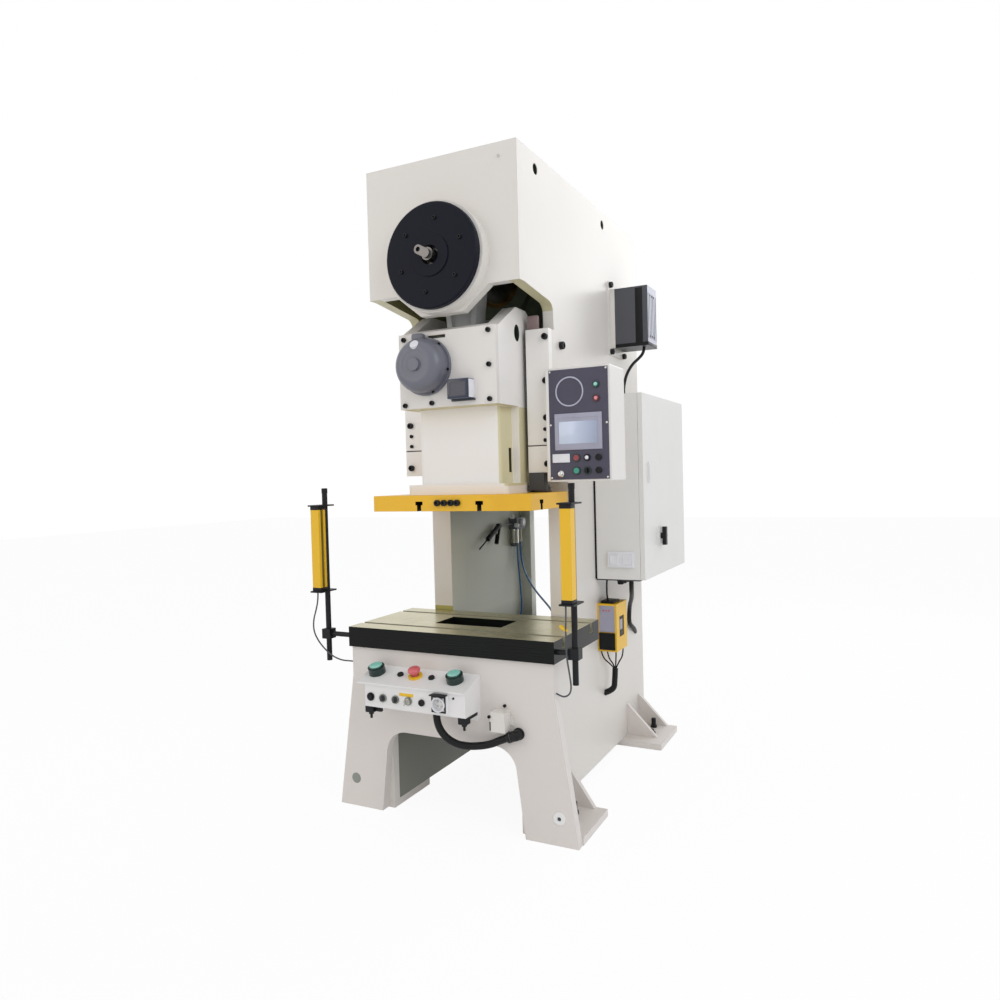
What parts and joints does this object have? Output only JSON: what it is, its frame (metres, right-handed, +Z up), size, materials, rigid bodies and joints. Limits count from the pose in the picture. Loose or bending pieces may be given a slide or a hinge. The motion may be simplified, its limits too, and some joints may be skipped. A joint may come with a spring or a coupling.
{
  "type": "c-frame crank press",
  "caption": "Open-back C-frame power press with a crank-driven slide, bolster bed, two-hand console, light curtain, operator panel and side cabinet.",
  "frame": {"origin": "On the floor, in the middle of the four floor-anchor holes", "axes": "+X to the operator's right, +Y from the front to the back of the press, +Z up"},
  "size_m": [1.2156, 1.654, 2.573],
  "materials": {
    "frame_paint": "satin",
    "bolster_steel": "oiled, ground",
    "steel": "satin",
    "cast_iron": "matte",
    "bronze": "satin",
    "yellow_paint": "satin",
    "yellow_case": "satin",
    "black_paint": "satin",
    "grey_paint": "satin",
    "black_plastic": "matte",
    "grey_plastic": "matte",
    "panel_film": "matte",
    "green_plastic": "gloss",
    "red_plastic": "gloss",
    "key_metal": "polished",
    "rubber": "matte",
    "blue_tube": "satin"
  },
  "bodies": {
    "frame": {"air_station": "black_plastic", "air_tube_across": "blue_tube", "air_tube_down": "blue_tube", "bearing_cap": "black_paint", "bearing_wall": "frame_paint", "bed_front_plate": "frame_paint", "bed_top_plate": "frame_paint", "blow_gun": "black_plastic", "bolster_plate": "bolster_steel", "button_shrouds": "grey_plastic", "cabinet_body": "frame_paint", "console_box": "frame_paint", "console_conduit": "rubber", "crank_bushes": "bronze", "crown_front_plate": "frame_paint", "crown_top_plate": "frame_paint", "curtain_cable_left": "rubber", "curtain_cable_right": "rubber", "curtain_controller": "yellow_case", "curtain_posts": "black_paint", "drive_box": "grey_paint", "drive_box_bracket": "frame_paint", "drive_box_cable": "rubber", "drive_motor": "grey_paint", "electrical_panel": "grey_plastic", "floor_feet": "frame_paint", "gibs": "frame_paint", "hmi_box": "frame_paint", "hmi_panel": "panel_film", "junction_box": "frame_paint", "knockout_stop": "black_paint", "light_curtains": "yellow_case", "rear_guard": "frame_paint", "side_plate_left": "frame_paint", "side_plate_right": "frame_paint", "tie_plates": "frame_paint", "v_belts": "rubber"},
    "crank": {"crankshaft": "steel", "clutch_brake": "cast_iron"},
    "connecting_rod": {"connecting_rod": "steel"},
    "adjusting_screw": {"adjusting_screw": "steel"},
    "slide": {"slide_body": "frame_paint", "slide_cover": "frame_paint", "slide_plate": "yellow_paint", "adjust_motor": "grey_paint", "die_height_counter": "grey_plastic"},
    "flywheel": {"flywheel": "cast_iron"},
    "motor_pulley": {"motor_pulley": "steel"},
    "cabinet_door": {"cabinet_door": "frame_paint"},
    "disconnect_handle": {"disconnect_handle": "black_plastic"},
    "palm_button_left": {"palm_button_left": "green_plastic"},
    "palm_button_right": {"palm_button_right": "green_plastic"},
    "emergency_stop": {"emergency_stop": "red_plastic"},
    "console_push_button": {"console_push_button": "black_plastic"},
    "mode_selector": {"mode_selector": "black_plastic"},
    "stroke_selector": {"stroke_selector": "black_plastic"},
    "key_switch": {"key_switch": "key_metal"},
    "hmi_start_button": {"hmi_start_button": "green_plastic"},
    "hmi_stop_button": {"hmi_stop_button": "red_plastic"},
    "hmi_selector": {"hmi_selector": "black_plastic"}
  },
  "joints": [
    {"name": "crank_turn", "type": "hinge", "parent": "frame", "child": "crank", "pos_m": [0, -0.4755, 2.158], "axis": [0, 1, 0], "range_deg": [0, 180]},
    {"name": "rod_swing", "type": "hinge", "parent": "crank", "child": "connecting_rod", "pos_m": [0, -0.4755, 2.218], "axis": [0, 1, 0], "range_deg": [-180, 0]},
    {"name": "stroke", "type": "slide", "parent": "frame", "child": "adjusting_screw", "axis": [0, 0, 1], "range_m": [-0.12, 0]},
    {"name": "die_height_adjust", "type": "slide", "parent": "adjusting_screw", "child": "slide", "axis": [0, 0, 1], "range_m": [-0.06, 0]},
    {"name": "flywheel_spin", "type": "hinge", "parent": "frame", "child": "flywheel", "pos_m": [0, 0.2775, 2.158], "axis": [0, 1, 0], "continuous": true},
    {"name": "pulley_spin", "type": "hinge", "parent": "frame", "child": "motor_pulley", "pos_m": [0, 0.2775, 1.51], "axis": [0, 1, 0], "continuous": true},
    {"name": "cabinet_door_swing", "type": "hinge", "parent": "frame", "child": "cabinet_door", "pos_m": [0.5385, 0.7965, 1.27], "axis": [0, 0, 1], "range_deg": [0, 120]},
    {"name": "main_switch_turn", "type": "hinge", "parent": "cabinet_door", "child": "disconnect_handle", "pos_m": [0.565, 0.3195, 1.036], "axis": [1, 0, 0], "range_deg": [0, 90]},
    {"name": "palm_left_press", "type": "slide", "parent": "frame", "child": "palm_button_left", "axis": [0, 0.3137, -0.9495], "range_m": [0, 0.006], "stiffness_N_per_m": 1500},
    {"name": "palm_right_press", "type": "slide", "parent": "frame", "child": "palm_button_right", "axis": [0, 0.3137, -0.9495], "range_m": [0, 0.006], "stiffness_N_per_m": 1500},
    {"name": "emergency_stop_press", "type": "slide", "parent": "frame", "child": "emergency_stop", "axis": [0, 0.3137, -0.9495], "range_m": [0, 0.006]},
    {"name": "console_button_press", "type": "slide", "parent": "frame", "child": "console_push_button", "axis": [0, 1, 0], "range_m": [0, 0.003], "stiffness_N_per_m": 900},
    {"name": "mode_selector_turn", "type": "hinge", "parent": "frame", "child": "mode_selector", "pos_m": [-0.216, -0.8175, 0.497], "axis": [0, 1, 0], "range_deg": [-45, 45]},
    {"name": "stroke_selector_turn", "type": "hinge", "parent": "frame", "child": "stroke_selector", "pos_m": [-0.159, -0.8175, 0.497], "axis": [0, 1, 0], "range_deg": [-45, 45]},
    {"name": "key_switch_turn", "type": "hinge", "parent": "frame", "child": "key_switch", "pos_m": [-0.101, -0.8175, 0.497], "axis": [0, 1, 0], "range_deg": [0, 90]},
    {"name": "hmi_start_press", "type": "slide", "parent": "frame", "child": "hmi_start_button", "axis": [0, 1, 0], "range_m": [0, 0.003], "stiffness_N_per_m": 900},
    {"name": "hmi_stop_press", "type": "slide", "parent": "frame", "child": "hmi_stop_button", "axis": [0, 1, 0], "range_m": [0, 0.003], "stiffness_N_per_m": 900},
    {"name": "hmi_selector_turn", "type": "hinge", "parent": "frame", "child": "hmi_selector", "pos_m": [0.495, -0.4495, 1.343], "axis": [0, 1, 0], "range_deg": [-45, 45]}
  ],
  "couplings": [
    {"joint": "rod_swing", "follows": "crank_turn", "ratio": -1},
    {"joint": "stroke", "follows": "crank_turn", "m_per_rad": -0.038197},
    {"joint": "pulley_spin", "follows": "flywheel_spin", "ratio": 3.375}
  ]
}
